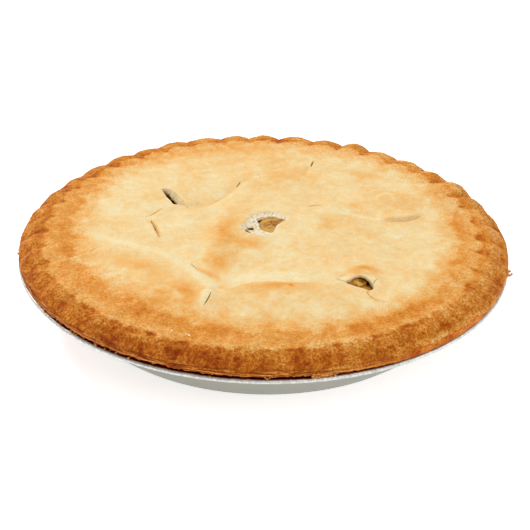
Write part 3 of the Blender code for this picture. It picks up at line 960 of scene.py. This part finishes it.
class Nodes:
    """Short ways to add nodes to a material. What a node takes is a number, a colour
    with channels from 0 to 255 or the output of another node."""

    def __init__(self, name):
        self.material = bpy.data.materials.new(name)
        self.material.use_nodes = True
        self.tree = self.material.node_tree
        self.place = self.add("TexCoord", output="Object")

    def give(self, socket, value):
        if isinstance(value, bpy.types.NodeSocket):
            self.tree.links.new(value, socket)
        else:
            socket.default_value = rgba(value) if isinstance(value, tuple) else value

    def add(self, kind, *given, output=None, **settings):
        """A node with its inputs given in order; returns the output, or else its first."""
        node = self.tree.nodes.new("ShaderNode" + kind)
        for name, value in settings.items():
            setattr(node, name, value)
        for socket, value in zip([s for s in node.inputs if s.enabled], given):
            self.give(socket, value)
        return node.outputs[output] if output else next(s for s in node.outputs if s.enabled)

    def attribute(self, name):
        return self.add("Attribute", output="Fac", attribute_name=name)

    def height(self):
        """The height in metres."""
        return self.add("SeparateXYZ", self.place, output="Z")

    def scaled(self, x, y, z):
        return self.add("Mapping", self.place, Vector(), Vector(), Vector((x, y, z)))

    def noise(self, size, detail, roughness, place=None):
        """Noise with features about size millimetres across, 0 to 1."""
        return self.add("TexNoise", place or self.place, 1000.0 / size, detail, roughness)

    def sum(self, *terms):
        """A sum of (value, factor) pairs and of plain numbers."""
        total = 0.0
        for term in terms:
            value, factor = term if isinstance(term, tuple) else (term, 1.0)
            total = self.add("Math", value, factor, total, operation="MULTIPLY_ADD")
        return total

    def product(self, a, b):
        return self.add("Math", a, b, operation="MULTIPLY")

    def step(self, value, low, high, to_low=0.0, to_high=1.0):
        given = (value, low, high, to_low, to_high)
        return self.add("MapRange", *given, interpolation_type="SMOOTHSTEP")

    def ramp(self, value, stops):
        output = self.add("ValToRGB", value)
        elements = output.node.color_ramp.elements
        while len(elements) < len(stops):
            elements.new(0.5)
        for element, (place, colour) in zip(elements, stops):
            element.position = place
            element.color = rgba(colour)
        return output

    def mix(self, share, a, b):
        return self.add("Mix", share, a, b, data_type="RGBA")

    def tint(self, colour, by):
        """The colour multiplied by another."""
        return self.add("Mix", 1.0, colour, by, data_type="RGBA", blend_type="MULTIPLY")

    def bump(self, *layers):
        """A normal from (height, distance in mm) pairs."""
        normal = None
        for height, distance in layers:
            output = self.add("Bump")
            sockets = output.node.inputs
            self.give(sockets["Distance"], distance * MM)
            self.give(sockets["Height"], height)
            if normal:
                self.give(sockets["Normal"], normal)
            normal = output
        return normal

    def surface(self, sockets):
        """The material, with what its shader's sockets take."""
        shader = self.tree.nodes["Principled BSDF"]
        for name, value in sockets.items():
            self.give(shader.inputs[name], value)
        return self.material


PASTRY_COLOURS = (
    (0.0, (246, 229, 190)), (0.05, (244, 216, 167)), (0.11, (242, 199, 138)), (0.22, (240, 179, 104)),
    (0.33, (232, 158, 75)), (0.43, (223, 144, 56)), (0.52, (211, 128, 43)), (0.62, (196, 109, 29)),
    (0.72, (177, 89, 16)), (0.82, (156, 64, 7)), (0.92, (130, 42, 3)), (1.0, (96, 28, 4)),
)
APPLE_COLOURS = (
    (0.15, (216, 164, 70)), (0.45, (194, 138, 42)), (0.7, (160, 100, 24)), (0.95, (104, 54, 12)),
)
EDGE_COLOURS = ((0.1, (214, 146, 66)), (0.5, (178, 94, 20)), (0.9, (124, 50, 4)))
# Colours of the bare dough; the dark end is painted shade deep in vents and cracks.
DOUGH_AND_DEPTH_SHADE_COLOURS = (
    (0.0, (242, 231, 206)), (0.3, (226, 208, 170)), (0.5, (194, 160, 100)), (0.66, (144, 100, 42)),
    (0.82, (92, 46, 14)), (1.0, (58, 20, 6)),
)


def pastry_look():
    """Baked pastry: pale to dark by its browning, with mottles, pores and crumb; the crumb's grain has
    painted shade in pits and painted highlights, and the lip's underside painted shade.
    """
    n = Nodes("baked_pastry")
    bake, crumb, lip = (n.attribute(a) for a in ("bake", "crumb", "lip"))
    depth, bare, under = (n.attribute(a) for a in ("depth", "bare", "under"))
    mottle = n.step(n.noise(2.8, 2.0, 0.6), 0.36, 0.64, -0.5, 0.5)
    grit = n.step(n.noise(1.1, 4.0, 0.85), 0.38, 0.62, -0.5, 0.5)
    fine = n.noise(0.8, 3.0, 0.6)
    vein = n.sum((n.noise(6.0, 3.0, 0.55), 1.0), -0.5)
    vein = n.step(n.product(vein, vein), 0.0, 0.0025, 1.0, 0.0)
    level = n.sum(
        (bake, 1.0),
        (mottle, 0.012),
        (n.product(bake, mottle), 0.14),
        (n.product(crumb, mottle), 0.05),
        (n.product(crumb, vein), -0.09),
    )
    skin = n.ramp(level, PASTRY_COLOURS)
    tinge = n.step(n.noise(11.0, 3.0, 0.6), 0.35, 0.65)
    hue = n.step(n.noise(4.2, 1.0, 0.5), 0.36, 0.64)
    sandy = n.product(crumb, n.step(n.noise(7.0, 2.0, 0.5), 0.48, 0.66))
    for share, low, high in (
        (tinge, (255, 251, 242), (252, 255, 253)),
        (hue, (254, 250, 236), (253, 255, 254)),
        (n.product(crumb, hue), (255, 255, 255), (258, 249, 240)),
        (sandy, (254, 254, 253), (256, 262, 285)),
    ):
        skin = n.tint(skin, n.mix(share, low, high))
    # The crumb's fine grain: painted shade in its pits and painted highlights on its crags.
    grained = n.sum((grit, 0.13), (n.product(crumb, grit), 1.05), 0.5)
    grain_shade_and_highlight = n.mix(grained, (222, 200, 130), (284, 299, 331))
    layers = n.step(n.noise(2.4, 4.0, 0.7, n.scaled(0.2, 0.2, 3.0)), 0.34, 0.66)
    edge = n.ramp(n.sum((layers, 1.0), (bake, 0.25), -0.08), EDGE_COLOURS)
    colour = n.mix(lip, n.tint(skin, grain_shade_and_highlight), n.tint(edge, grain_shade_and_highlight))
    spots = n.step(n.noise(1.5, 3.0, 0.6), 0.3, 0.75, -0.1, 0.5)
    # Bare dough turns dark with depth: painted shade in vents and cracks, with some filling stain.
    dough = n.ramp(n.sum((n.step(depth, 1.6, 3.4), 0.9), (spots, 1.0)), DOUGH_AND_DEPTH_SHADE_COLOURS)
    colour = n.mix(bare, colour, dough)
    normal = n.bump(
        (n.noise(4.5, 4.0, 0.6), 0.25),
        (n.noise(1.0, 3.0, 0.6), 0.18),
        (n.product(crumb, n.noise(1.3, 4.0, 0.75)), 1.1),
    )
    return n.surface({
        # The lip's underside is painted dark red-brown: painted shade in the gap, with some burnt juice.
        "Base Color": n.mix(under, colour, (112, 28, 8)),
        "Roughness": n.step(fine, 0.3, 0.7, 0.55, 0.7),
        "Specular IOR Level": 0.08,
        "Normal": normal,
    })


def filling_look():
    """Cooked apple in a clear amber glaze."""
    n = Nodes("apple_filling")
    broad = n.step(n.noise(5.0, 3.0, 0.5), 0.35, 0.65)
    fine = n.step(n.noise(1.4, 3.0, 0.65), 0.35, 0.65)
    return n.surface({
        "Base Color": n.ramp(n.sum((broad, 0.6), (fine, 0.3)), APPLE_COLOURS),
        "Roughness": 0.3,
        "Specular IOR Level": 0.25,
        "Coat Weight": 0.15,
        "Coat Roughness": 0.1,
        "Normal": n.bump((n.noise(1.5, 3.0, 0.6), 0.2)),
    })


def crumb_look():
    """Pale crumbs, near white on the lid, where the flakes are partly sugar and partly painted highlights.
    """
    n = Nodes("crumbs")
    golden = n.mix(n.noise(1.5, 2.0, 0.6), (230, 174, 104), (176, 104, 42))
    # Flakes on the lid are near white: partly sugar, partly painted highlights.
    colour = n.mix(n.step(n.height(), 0.033, 0.035), golden, (252, 246, 230))
    return n.surface({"Base Color": colour, "Roughness": 0.7, "Specular IOR Level": 0.1})


def foil_look():
    """Rolled aluminium, dull from handling, with painted shade on the wall and painted light on the bead.
    """
    n = Nodes("foil")
    around = n.noise(6.0, 3.0, 0.5, n.scaled(0.5, 0.5, 2.5))
    # Darker grey for the wall: painted shade under the overhang.
    wall = n.ramp(around, ((0.2, (156, 157, 147)), (0.8, (168, 169, 159))))
    crinkle = n.noise(1.4, 2.0, 0.6)
    # Lighter, crinkled grey for the bead: painted light.
    bead = n.ramp(crinkle, ((0.35, (184, 183, 178)), (0.65, (218, 217, 212))))
    edge = n.sum((n.height(), 1.0), (crinkle, 0.0016))
    colour = n.mix(n.step(edge, 0.0256, 0.0260), wall, bead)
    return n.surface({
        # The flange is tinted red-brown where it shows in the gap under the lip.
        "Base Color": n.mix(n.attribute("baked"), colour, (205, 62, 24)),
        "Metallic": 1.0,
        "Roughness": n.step(around, 0.3, 0.7, 0.38, 0.5),
        "Normal": n.bump((n.noise(3.0, 3.0, 0.5), 0.03), (n.noise(1.3, 3.0, 0.6), 0.07)),
    })


# ---- stage
LIGHT_AIM = Vector((0.0, 0.0, 0.03))


def make_floor():
    """A matt floor that glows a little, so that it comes out white."""
    look = bpy.data.materials.new("floor")
    look.use_nodes = True
    sockets = look.node_tree.nodes["Principled BSDF"].inputs
    sockets["Base Color"].default_value = (0.95, 0.95, 0.95, 1.0)
    sockets["Roughness"].default_value = 0.9
    sockets["Specular IOR Level"].default_value = 0.0
    sockets["Emission Color"].default_value = (1.0, 1.0, 1.0, 1.0)
    sockets["Emission Strength"].default_value = 0.58
    bm = bmesh.new()
    bmesh.ops.create_grid(bm, x_segments=1, y_segments=1, size=5.0)
    new_object(bm, "floor", look)


def area_light(name, place, size, power):
    """A round light turned towards the pie."""
    data = bpy.data.lights.new(name, "AREA")
    data.shape, data.size, data.energy = "DISK", size, power
    light = add_object(name, data)
    light.location = place
    light.rotation_euler = (LIGHT_AIM - Vector(place)).to_track_quat("-Z", "Y").to_euler()


def make_lights():
    world = bpy.data.worlds.new("studio")
    bpy.context.scene.world = world
    world.use_nodes = True
    background = world.node_tree.nodes["Background"]
    background.inputs["Color"].default_value = (1.0, 1.0, 1.0, 1.0)
    background.inputs["Strength"].default_value = 0.54
    area_light("key", (-1.2, 1.2, 1.7), 0.85, 33.5)
    area_light("fill", (0.5, -1.0, 1.0), 0.8, 3.3)
    area_light("side", (1.3, -0.4, 0.35), 0.5, 2.0)


def make_camera():
    """The camera looks at CAMERA_AIM, turned so that the aim falls on AIM_PIXEL."""
    elevation = math.radians(CAMERA_ELEVATION)
    aim = Vector(CAMERA_AIM) * MM
    away = Vector((0.0, -math.cos(elevation), math.sin(elevation)))
    data = bpy.data.cameras.new("camera")
    data.lens, data.sensor_width = CAMERA_LENS, SENSOR_WIDTH
    data.clip_start, data.clip_end = 0.05, 50.0
    focal = IMAGE_SIZE * CAMERA_LENS / SENSOR_WIDTH  # in pixels
    right, up = AIM_PIXEL[0] - IMAGE_SIZE / 2, IMAGE_SIZE / 2 - AIM_PIXEL[1]
    turn = (
        Matrix.Rotation(math.radians(90 - CAMERA_ELEVATION), 4, "X")
        @ Matrix.Rotation(math.radians(CAMERA_ROLL), 4, "Z")
        @ Matrix.Rotation(math.atan2(right, focal), 4, "Y")
        @ Matrix.Rotation(-math.atan2(up, focal), 4, "X")
    )
    camera = add_object("camera", data)
    camera.matrix_world = Matrix.Translation(aim + away * CAMERA_DISTANCE * MM) @ turn
    bpy.context.scene.camera = camera


def main():
    pastry, amber, foil = pastry_look(), filling_look(), foil_look()
    crust = finish_crust(make_crust(pastry))
    filling = make_filling(amber)
    tin = make_tin(foil)
    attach(make_crumbs(crumb_look()), "root")
    for piece, node, slot in (
        (crust, "pastry_crust", "baked_pastry"),
        (filling, "apple_filling", "apple_filling"),
        (tin, "pie_tin", "foil"),
    ):
        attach(piece, "root")
        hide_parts(node)
    make_floor()
    make_lights()
    make_camera()
    bpy.context.scene.view_settings.view_transform = "Standard"


main()
